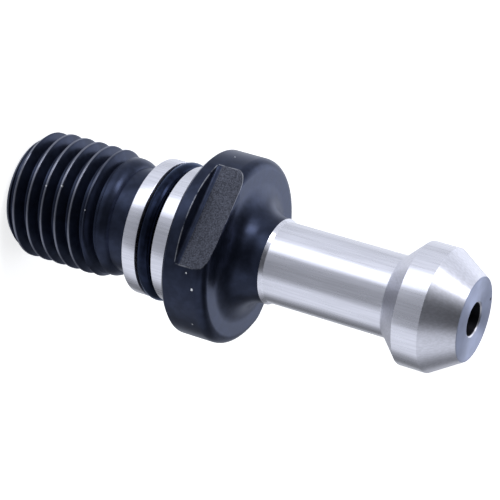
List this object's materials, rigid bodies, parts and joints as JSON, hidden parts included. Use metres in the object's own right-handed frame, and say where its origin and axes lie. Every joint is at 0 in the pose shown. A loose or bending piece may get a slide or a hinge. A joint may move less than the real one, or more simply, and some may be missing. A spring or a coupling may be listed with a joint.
{
  "type": "pull stud",
  "caption": "Retention knob for a steep-taper tool holder: threaded shank, ground pilot with a sealing ring, flange with wrench flats, neck and conical pull head with a coolant bore.",
  "frame": {"origin": "on the axis, in the plane of the flange's seat face", "axes": "+Z along the axis from the thread to the pull head; -Y out of the front wrench flat"},
  "size_m": [0.023, 0.023, 0.06],
  "materials": {
    "stud_steel": "black oxide, satin; pilot bands, neck and head ground bright",
    "ring_rubber": "smooth black nitrile"
  },
  "bodies": {
    "root": {"stud_body": "stud_steel", "o_ring": "ring_rubber"}
  },
  "joints": []
}
